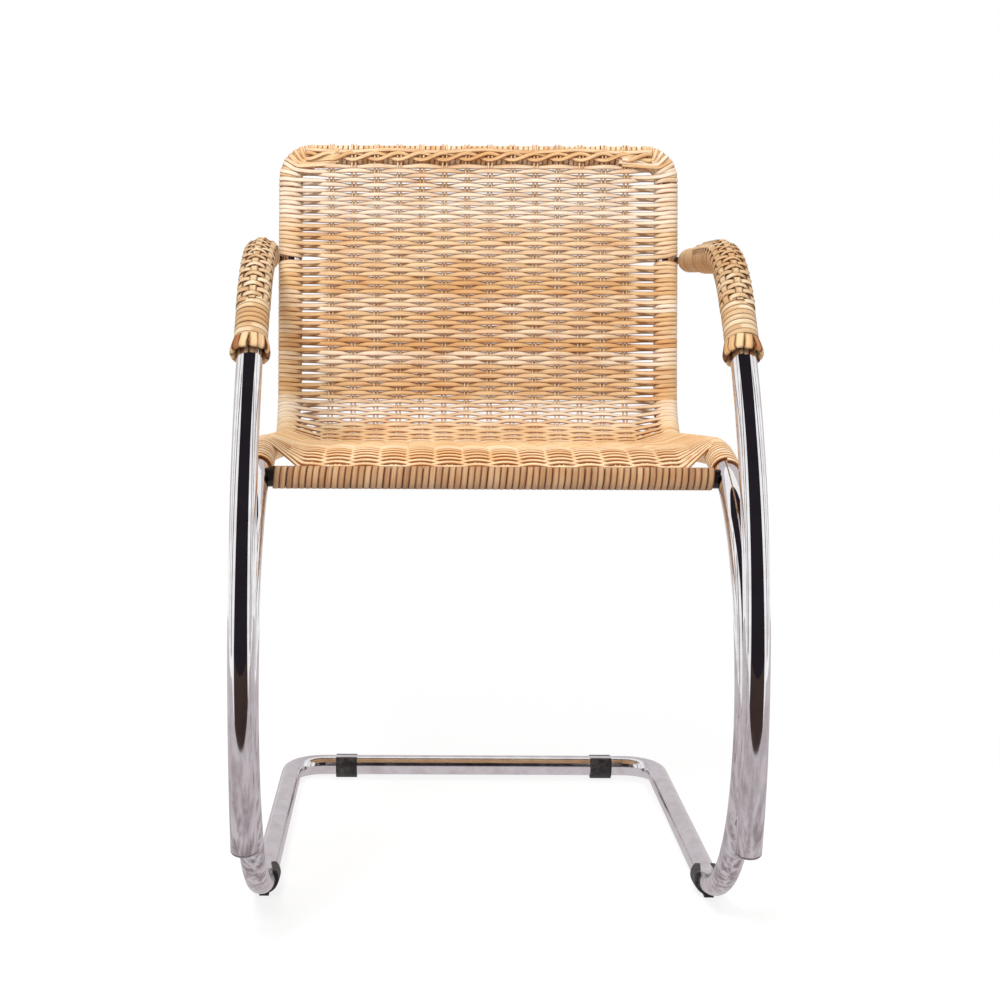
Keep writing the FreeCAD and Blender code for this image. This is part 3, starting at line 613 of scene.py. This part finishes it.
def turn_run(side, first, last):
    """Turns round a side tube, from one row to the next; on the seat they end at its inner side."""
    leaving = 0.055
    share = np.linspace(0, 1, 40)
    whole = 3 * math.pi + tube_start if first > bend_start else 4 * math.pi - 1.1
    angle = -tube_start + share * (whole + tube_start)
    stations = (-TURN_SPREAD, -TURN_EVEN, last - first + TURN_EVEN, last - first + TURN_SPREAD)
    row_place = first + np.interp(share, (0, leaving, 1 - leaving, 1), stations)
    centre, along, out, across = side_tube(side, on_tube(row_place, angle))
    radial = out * np.cos(angle)[:, None] + across * np.sin(angle)[:, None]
    return centre + radial * TURN_RADIUS, along, crowding(row_place)


def weft_parts():
    """The rows and turns in order, each with its points, width directions and half widths."""
    for number, at in enumerate(rows_at):
        way = 1 if number % 2 == 0 else -1
        path, width, places = row_run(number, at, way)
        along, _, _ = profile.frames(places)
        yield number, path, along, width
        if number + 1 < len(rows_at):
            path, along, crowd = turn_run(way, at, rows_at[number + 1])
            yield number, path, along, ROW_WIDTH * 1.03 * crowd


LINK = 7
PARTING = 0.0045


def strand_tones(count):
    """A tone for each row: one cane lasts for a few rows."""
    tones = []
    while len(tones) < count:
        tone = tone_near(0.55, 0.24)
        tones += [tone] * random.randint(1, 4)
    return tones[:count]


def linked(before, after):
    """Values on the way from one run's end to the next run's start, without the two ends."""
    share = np.linspace(0, 1, LINK + 2)[1:-1, None]
    return before + (after - before) * share


def spanned(before, after, along, from_tube):
    """Points between stake and tube: two strands stay together at the tube and part near the stake."""
    share = np.linspace(0, 1, LINK + 2)[1:-1]
    eased = share ** 2.4 if from_tube else 1 - (1 - share) ** 2.4
    drift = float(np.clip(np.dot(after - before, along), -PARTING, PARTING))
    return linked(before, after) + along * (drift * (eased - share))[:, None]


def softened(path):
    """A path with its corners eased."""
    eased = path.copy()
    eased[1:-1] = path[:-2] * 0.25 + path[1:-1] * 0.5 + path[2:] * 0.25
    return eased


def make_weft():
    """The continuous weft, cut in two pieces where the seat ends."""
    tones = strand_tones(len(rows_at))
    groups = {"seat": Strands(1.0), "back": Strands(1.0)}
    runs = list(weft_parts())
    stretches = {"seat": [], "back": []}
    for run in runs:
        stretches["seat" if rows_at[run[0]] < bend_start else "back"].append(run)
    for name, own in stretches.items():
        paths, alongs, widths, colours = [], [], [], []
        for number, path, along, width in own:
            # Painted light: rows near the top and in the open band are made paler, as if lit through from
            # behind.
            painted_backlight = 0.60 * math.exp(-((rows_at[number] - (last_row - 0.030)) / 0.040) ** 2)
            painted_backlight += 0.35 * math.exp(-((rows_at[number] - open_at) / 0.022) ** 2)
            tone = min(1.0, tones[number] + painted_backlight)
            if paths:
                from_tube = len(path) > len(paths[-1])
                paths.append(spanned(paths[-1][-1], path[0], along[0], from_tube))
                alongs.append(linked(alongs[-1][-1], along[0]))
                widths.append(linked(widths[-1][-1], width[0])[:, 0])
                colours.append(np.full(LINK, tone))
            paths.append(path)
            alongs.append(along)
            widths.append(width)
            colours.append(np.full(len(path), tone))
        groups[name].add(softened(np.concatenate(paths)), np.concatenate(alongs),
                         np.concatenate(widths), ROW_THICK, np.concatenate(colours))
    groups["seat"].build("seat_weave", woven, "woven_cane", "cane_seat", "seat_winding_left",
                         "seat_winding_right")
    groups["back"].build("back_weave", woven, "woven_cane", "cane_back", "back_winding_low_left",
                         "back_winding_low_right", "back_winding_high_left", "back_winding_high_right")


def make_stakes():
    """The stakes: pairs of thin round canes from the front rail to the top bar, and over it."""
    strands = Strands(1.0)
    at = np.linspace(0.0, bar_at, 300)
    rail_lift = (RAIL + 0.0005) * np.exp(-(at / 0.010) ** 2)
    over_bar = np.linspace(0.05, 1.25 * math.pi, 24)
    _, normal, _ = profile.frames(np.array([bar_at]))
    upward = np.cross(X_AXIS, normal[0]) * -1
    for x in stake_xs:
        for offset in (-STAKE_PAIR, STAKE_PAIR):
            sway = x + offset + wobble(at, 0.09, 0.0003)
            path = on_field(sway, at, rail_lift)
            centre = profile.point(np.array([bar_at])) + X_AXIS * (x + offset)
            round_it = normal[0] * np.cos(over_bar)[:, None] + upward * np.sin(over_bar)[:, None]
            path = np.concatenate([path, centre + round_it * (WOUND + 0.0006)])
            strands.add(path, X_AXIS, STAKE, STAKE, tone_near(0.6, 0.15))
    strands.build("weave_stakes", woven, "woven_cane")


def make_border():
    """The border in front of the top bar: strands that cross over and under each other."""
    strands = Strands(0.9)
    half = side_x - 0.020
    x = np.linspace(-half, half, 420)
    twist = x / STAKE_PITCH * math.pi
    # Each strand's phase, height over the bar's line, swing and depth
    runs = ((twist, -0.0022, 0.0040, 0.0020), (twist + math.pi, -0.0022, 0.0040, 0.0020),
            (twist / 2 + 1.1, 0.0046, 0.0012, 0.0008))
    for number, (phase, height, swing, depth) in enumerate(runs):
        places = bar_at + height + swing * np.sin(phase) + wobble(x, 0.12, 0.0004)
        out = 0.0016 + depth * np.cos(phase)
        strands.add(on_field(x, places, out), profile.frames(places)[0], ROW_WIDTH * 0.86, ROW_THICK * 0.9,
                    0.34 + 0.16 * number)
    strands.build("weave_border", woven, "woven_cane")


def make_corner_fans():
    """Strands that run slantwise from the upper corners of the tube down to the weave."""
    count, pitch, end_pitch = 6, 0.0052, 0.0034
    steps_round, steps_down = 16, 9
    turns = np.linspace(1.4 * math.pi, -0.35, steps_round)
    share = np.linspace(0, 1, steps_down + 1)[1:, None]
    for name, side in SIDES.items():
        strands = Strands(0.9)
        for number in range(count):
            start = float(on_tube(last_row)) - 0.012 + pitch * number
            centre, along, out, across = side_tube(side, np.full(steps_round, start))
            radial = out * np.cos(turns)[:, None] + across * np.sin(turns)[:, None]
            round_tube = centre + radial * (TURN_RADIUS + 0.0006)
            end_x = side * (stake_xs[-1] - 0.006 - 0.004 * (number % 2))
            end_at = np.array([bar_at - 0.0115 + end_pitch * number])
            end = on_field(np.array([end_x]), end_at, np.array([0.0022]))
            down = round_tube[-1] + (end - round_tube[-1]) * share
            ways = np.concatenate([along, np.repeat(profile.frames(end_at)[0], steps_down, axis=0)])
            strands.add(softened(np.concatenate([round_tube, down])), softened(ways), ROW_WIDTH * 0.9,
                        ROW_THICK * 0.85, usual_tone())
        strands.build("corner_fan_" + name, woven, "woven_cane")


def wound(strands, frames, first, last, pitch, radius, half_width, thick, tone_of, jitter=0.0002, lift=None):
    """Flat cane wound on a tube: frames(at) gives centre, along, out and across."""
    turns = (last - first) / pitch
    share = np.linspace(0, 1, int(turns * 24) + 1)
    turn = share * turns
    at = first + share * (last - first)
    centre, along, out, across = frames(at)
    shift = wobble(turn, 3.1, jitter)
    angle = turn * 2 * math.pi
    tones = np.array([tone_of() for _ in range(int(turns) + 2)])
    tone = tones[turn.astype(int)]
    raised = radius + (lift(turn, angle) if lift else 0.0)
    radial = out * np.cos(angle)[:, None] + across * np.sin(angle)[:, None]
    path = centre + radial * np.reshape(raised, (-1, 1)) + along * shift[:, None]
    strands.add(path, along, half_width, thick, tone)


def bar_frames(centre, side_vector=X_AXIS):
    """Frames along a straight bar that crosses the chair."""

    def frames(at):
        points = centre + side_vector * at[:, None]
        shape = points.shape
        return (points, np.broadcast_to(side_vector, shape), np.broadcast_to(Z_AXIS, shape),
                np.broadcast_to(np.array((0.0, 1.0, 0.0)), shape))

    return frames


def make_bar_windings():
    """Flat cane on the top bar and on the front rail."""
    pitch, overlap = 0.0064, 0.003
    low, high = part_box("top_bar_winding")
    strands = Strands()
    wound(strands, bar_frames(np.array((0.0, top_axis[1], top_axis[2]))), low.x - overlap, high.x + overlap,
          pitch, TUBE + 0.0010, 0.0032, 0.0009, usual_tone)
    strands.build("top_bar_cane", woven, "wound_cane", "top_bar_winding")
    low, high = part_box("front_rail_winding")
    strands = Strands()
    wound(strands, bar_frames(rail_axis), low.x, high.x, pitch, RAIL + 0.0012, 0.00325, 0.0008, even_tone)
    strands.build("front_rail_cane", rail_cane, "wound_cane", "front_rail_winding")


def make_corner_windings():
    """Plain turns on the side tubes beside the front rail, and round the upper corners of the back."""
    start = 0.0155
    first_turn = float(on_tube(FIRST_ROW)) - 0.003
    end = corner_at + TOP_CORNER * math.pi / 2
    for name, side in SIDES.items():
        strands = Strands()
        tube = partial(side_tube, side)
        wound(strands, tube, start, first_turn, 0.0062, TURN_RADIUS, 0.0029, ROW_THICK * 0.9, usual_tone)
        wound(strands, tube, corner_at - 0.002, end + 0.001, 0.0046, TURN_RADIUS - 0.0005, 0.0037, 0.0009,
              usual_tone)
        strands.build("corner_cane_" + name, woven, "wound_cane")


# The arms

PLAIT_PITCH = 0.0066
PLAIT_RISE = 0.0014
PLAIT_RADIUS = WOUND + 0.0016
LATHS = (-48, 0, 48)
LATH_SPREAD = 17
# Ends of the cane and of its plaited part, from where the arm turns level or from the cane's front end
CANE_AHEAD = 0.180
PLAIT_BEHIND_FRONT = 0.052
PLAIT_BEYOND_LEVEL = 0.165
REAR_BARE = 0.0075
# Distance back from the front end and radius, along a loop from its outer to its inner end
LOOP_REACH = 0.012
LOOP_OUTLINE = ((LOOP_REACH, 0.0160), (0.008, 0.0170), (0.004, 0.0178), (0.001, 0.0184), (-0.0018, 0.0184),
                (-0.0033, 0.0176), (-0.0033, 0.0165), (-0.0016, 0.0157), (0.003, 0.0150), (0.009, 0.0144))
LOOPS = 13


def lath_wave(turn, angle):
    """Rises where a turn passes over a lath, and dips where it passes under one."""
    degrees = (np.degrees(angle) + 180) % 360 - 180
    number = np.floor(turn + 0.5)
    total = np.zeros_like(degrees)
    for lane, place in enumerate(LATHS):
        near = np.exp(-((degrees - place) / LATH_SPREAD) ** 2)
        total += near * np.where((number + lane) % 2 == 0, 1.0, -1.0)
    return PLAIT_RISE * total


def make_arm_turns(name, track, front, plait_first, plait_last):
    """Plain turns behind and before the plaited part, and darker turns under it."""
    rear = track.length - ARM_TAIL - REAR_BARE
    turns = Strands()
    wound(turns, track.tube, plait_last - 0.012, rear, 0.0056, TUBE + 0.0013, 0.0028, 0.0011, usual_tone)
    wound(turns, track.tube, front + 0.004, plait_first + 0.004, 0.0058, WOUND + 0.0012, 0.0034, 0.0008,
          usual_tone, 0.0004)
    under = Strands()
    wound(under, track.tube, front + 0.010, plait_last, 0.0060, TUBE + 0.0012, 0.0030, 0.0009, lambda: 0.05)
    under.build("arm_under_turns_" + name, collar_cane, "wound_cane")
    turns.build("arm_turns_" + name, arm_cane, "wound_cane", "arm_winding_" + name, "arm_binding_" + name)


def make_arm_plaiting(name, track, first, last):
    """Turns that pass over and under three laths, and the laths."""
    plait = Strands()
    wound(plait, track.tube, first, last, PLAIT_PITCH, PLAIT_RADIUS, 0.0033, 0.0008, usual_tone, 0.0003,
          lath_wave)
    at = np.linspace(first, last, 420)
    centre, _, out, across = track.tube(at)
    wave = -np.cos(math.pi * (at - first) / PLAIT_PITCH)
    for lane, place in enumerate(LATHS):
        angle = math.radians(place)
        radial = out * math.cos(angle) + across * math.sin(angle)
        side_way = across * math.cos(angle) - out * math.sin(angle)
        rise = PLAIT_RISE * wave * (1 if lane % 2 == 0 else -1)
        plait.add(centre + radial * (PLAIT_RADIUS + rise)[:, None], side_way, 0.0040, 0.0007, 0.62)
    plait.build("arm_plaiting_" + name, arm_cane, "wound_cane", "arm_plait_" + name)


def make_arm_loops(name, track, front):
    """Short loops of flat cane, turned over at the front end of the arm's cane."""
    loops = Strands(0.8)
    centre, along, out, across = (vectors[0] for vectors in track.tube(np.array([front])))
    for number in range(LOOPS):
        angle = 2 * math.pi * (number + 0.5) / LOOPS
        twist = float(noise.uniform(-0.10, 0.10))
        reach = float(noise.uniform(-0.0008, 0.0012))
        path, side_ways = [], []
        for back, radius in LOOP_OUTLINE:
            turned = angle + twist * (LOOP_REACH - back) / LOOP_REACH
            radial = out * math.cos(turned) + across * math.sin(turned)
            path.append(centre + along * (back - reach) + radial * radius)
            side_ways.append(across * math.cos(turned) - out * math.sin(turned))
        low_tone, high_tone = (0.0, 0.3) if number % 4 == 1 else (0.55, 0.95)
        loops.add(path, np.array(side_ways), 0.0046, 0.0010, float(noise.uniform(low_tone, high_tone)))
    loops.build("arm_end_loops_" + name, collar_cane, "wound_cane", "arm_collar_" + name)


def make_arm(name, side):
    """The cane of one arm."""
    track = arm_track(side)
    level_at = track.distances[2]
    front = level_at - CANE_AHEAD
    plait_first = front + PLAIT_BEHIND_FRONT
    plait_last = level_at + PLAIT_BEYOND_LEVEL
    make_arm_turns(name, track, front, plait_first, plait_last)
    make_arm_plaiting(name, track, plait_first, plait_last)
    make_arm_loops(name, track, front)


make_weft()
make_stakes()
make_border()
make_bar_windings()
make_corner_windings()
make_corner_fans()
for arm_name, arm_side in SIDES.items():
    make_arm(arm_name, arm_side)


# Finishes of the CAD nodes that stay

# The front rail's tube takes the darker steel, painted shade under the seat's cane.
FINISHES = (("frame_tube", chrome), ("arm_tube", chrome), ("front_rail_tube", rail_steel_painted_shade),
            ("joint_sleeve", steel), ("plug", steel), ("screw", steel), ("spacer", steel), ("glide", plastic))
for node_name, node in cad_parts.items():
    for word, material in FINISHES:
        if word in node_name:
            node.data.materials.clear()
            node.data.materials.append(material)
            break


# Studio: floor, cards for the chrome to show, lamps, world and camera

QUAD = ((0, 1, 2, 3),)
ROOM_REACH = 4.0
ROOM_LOW_HALF = 6.0
ROOM_HIGH_HALF = 3.0


def card(name, points, faces=QUAD):
    """A flat or bent sheet of the studio."""
    mesh = bpy.data.meshes.new(name)
    mesh.from_pydata(points, [], faces)
    made = bpy.data.objects.new(name, mesh)
    bpy.context.scene.collection.objects.link(made)
    return made


def glow(name, value):
    """A plain glowing material."""
    material = bpy.data.materials.new(name)
    material.use_nodes = True
    nodes = material.node_tree.nodes
    nodes.clear()
    light = nodes.new("ShaderNodeEmission")
    light.inputs["Color"].default_value = value
    light.inputs["Strength"].default_value = 1.0
    output = nodes.new("ShaderNodeOutputMaterial")
    material.node_tree.links.new(light.outputs[0], output.inputs["Surface"])
    return material


def glowing_card(name, points, value, faces=QUAD):
    """A card of one plain colour, which only reflections show."""
    made = card(name, points, faces)
    made.data.materials.append(glow(name, value))
    made.visible_camera = False
    made.visible_diffuse = False
    made.visible_shadow = False
    made.visible_transmission = False
    made.visible_volume_scatter = False


def make_floor():
    """A floor that is white to the camera and the metal, but for the shadow near the chair."""
    reach = 9.0
    floor = card("floor", [(-reach, -reach, 0), (reach, -reach, 0), (reach, reach, 0), (-reach, reach, 0)])
    material = bpy.data.materials.new("floor")
    material.use_nodes = True
    nodes = material.node_tree.nodes
    links = material.node_tree.links
    nodes.clear()
    matt = nodes.new("ShaderNodeBsdfDiffuse")
    matt.inputs["Color"].default_value = (0.8, 0.8, 0.8, 1)
    shown = nodes.new("ShaderNodeBsdfDiffuse")
    shown.inputs["Color"].default_value = (0.22, 0.22, 0.22, 1)
    light = nodes.new("ShaderNodeEmission")
    light.inputs["Strength"].default_value = 0.82
    plain = nodes.new("ShaderNodeEmission")
    plain.inputs["Color"].default_value = (1, 1, 1, 1)
    both = nodes.new("ShaderNodeAddShader")
    links.new(shown.outputs[0], both.inputs[0])
    links.new(light.outputs[0], both.inputs[1])
    place = nodes.new("ShaderNodeTexCoord").outputs["Object"]
    away = nodes.new("ShaderNodeVectorMath")
    away.operation = "LENGTH"
    links.new(place, away.inputs[0])
    fading = nodes.new("ShaderNodeMixShader")
    links.new(share_of(nodes, links, away.outputs["Value"], 0.45, 0.95), fading.inputs[0])
    links.new(both.outputs[0], fading.inputs[1])
    links.new(plain.outputs[0], fading.inputs[2])
    path = nodes.new("ShaderNodeLightPath")
    seen = maths(nodes, links, "MAXIMUM", path.outputs["Is Camera Ray"], path.outputs["Is Glossy Ray"])
    choose = nodes.new("ShaderNodeMixShader")
    links.new(seen, choose.inputs[0])
    links.new(matt.outputs[0], choose.inputs[1])
    links.new(fading.outputs[0], choose.inputs[2])
    output = nodes.new("ShaderNodeOutputMaterial")
    links.new(choose.outputs[0], output.inputs["Surface"])
    floor.data.materials.append(material)


def make_dark_room():
    """The dark room before the chair: a band bent up and over it, narrower higher up."""
    columns, levels = 8, 16
    top_degrees, narrow_degrees = 105, 60
    points = []
    for level in range(levels + 1):
        degrees = top_degrees * level / levels
        height = math.radians(degrees)
        half = ROOM_LOW_HALF + (ROOM_HIGH_HALF - ROOM_LOW_HALF) * min(degrees / narrow_degrees, 1)
        for column in range(columns + 1):
            points.append((half * (2 * column / columns - 1), -ROOM_REACH * math.cos(height),
                           ROOM_REACH * math.sin(height)))
    row = columns + 1
    faces = [(r * row + c, r * row + c + 1, (r + 1) * row + c + 1, (r + 1) * row + c)
             for r in range(levels) for c in range(columns)]
    glowing_card("dark_room", points, colour(38, 34, 40), faces)


def make_flat_cards():
    """A grey wall behind the chair, a grey floor under it and a dark floor before it."""
    back, half, low, high = 3.0, 4.5, 0.05, 4.5
    wall = [(-half, back, low), (half, back, low), (half, back, high), (-half, back, high)]
    glowing_card("grey_wall", wall, colour(206, 200, 203))
    near, level, half, back = -0.90, 0.001, 2.2, 1.4
    grey = [(-half, near, level), (half, near, level), (half, back, level), (-half, back, level)]
    glowing_card("grey_floor", grey, colour(202, 195, 198))
    far, near_half = -ROOM_REACH, 0.95
    dark = [(-ROOM_LOW_HALF, far, level), (ROOM_LOW_HALF, far, level), (near_half, near, level),
            (-near_half, near, level)]
    glowing_card("dark_floor", dark, colour(66, 54, 50))


def make_stands():
    """Two dark stands at each side, for thin dark lines along the tubes."""
    away, top = 3.6, 4.0
    for name, side in SIDES.items():
        for degrees, half_degrees in ((78, 3.0), (98, 1.5)):
            turn = math.radians(degrees) * side
            half = math.radians(half_degrees)
            points = [(away * math.sin(turn + e), -away * math.cos(turn + e), z)
                      for e, z in ((-half, 0.0), (half, 0.0), (half, top), (-half, top))]
            glowing_card("stand_%s_%d" % (name, degrees), points, colour(90, 86, 90))


def make_world():
    """White all round for the camera and the metal, and plain soft light."""
    world = bpy.data.worlds.new("studio")
    bpy.context.scene.world = world
    world.use_nodes = True
    nodes = world.node_tree.nodes
    links = world.node_tree.links
    back = nodes["Background"]
    path = nodes.new("ShaderNodeLightPath")
    seen = maths(nodes, links, "MAXIMUM", path.outputs["Is Camera Ray"], path.outputs["Is Glossy Ray"])
    seen = maths(nodes, links, "MAXIMUM", seen, path.outputs["Is Transmission Ray"])
    level = nodes.new("ShaderNodeMapRange")
    links.new(seen, level.inputs["Value"])
    level.inputs["To Min"].default_value = 0.45
    level.inputs["To Max"].default_value = 1.0
    back.inputs["Color"].default_value = (1, 1, 1, 1)
    links.new(level.outputs[0], back.inputs["Strength"])


def make_lamp(name, place, target, power, width):
    """A square lamp turned to a target, which reflections don't show."""
    lamp = bpy.data.lights.new(name, "AREA")
    lamp.energy = power
    lamp.shape = "SQUARE"
    lamp.size = width
    made = bpy.data.objects.new(name, lamp)
    bpy.context.scene.collection.objects.link(made)
    made.location = place
    way = np.array(target) - np.array(place)
    level = math.hypot(way[0], way[1])
    made.rotation_euler = (math.atan2(level, -way[2]), 0, math.atan2(-way[0], way[1]))
    made.visible_glossy = False


def make_camera():
    """The photograph's view, fitted to the edges of the tube in it."""
    lens = bpy.data.cameras.new("camera")
    lens.sensor_width = 36.0
    lens.lens = 65.18
    lens.shift_x = 0.0819
    lens.clip_start = 0.05
    lens.clip_end = 60
    camera = bpy.data.objects.new("camera", lens)
    bpy.context.scene.collection.objects.link(camera)
    camera.location = (-0.0748, -1.9558, 0.6477)
    camera.rotation_euler = (math.radians(90 - 7.06), math.radians(-0.25), 0)
    bpy.context.scene.camera = camera


make_floor()
make_dark_room()
make_flat_cards()
make_stands()
make_world()
make_lamp("key", (-0.6, -2.5, 2.7), (0, 0, 0.5), 98, 0.9)
make_lamp("top", (0.6, 0.9, 3.0), (0, 0.1, 0.5), 30, 1.4)
make_camera()

scene = bpy.context.scene
scene.view_settings.view_transform = "Standard"
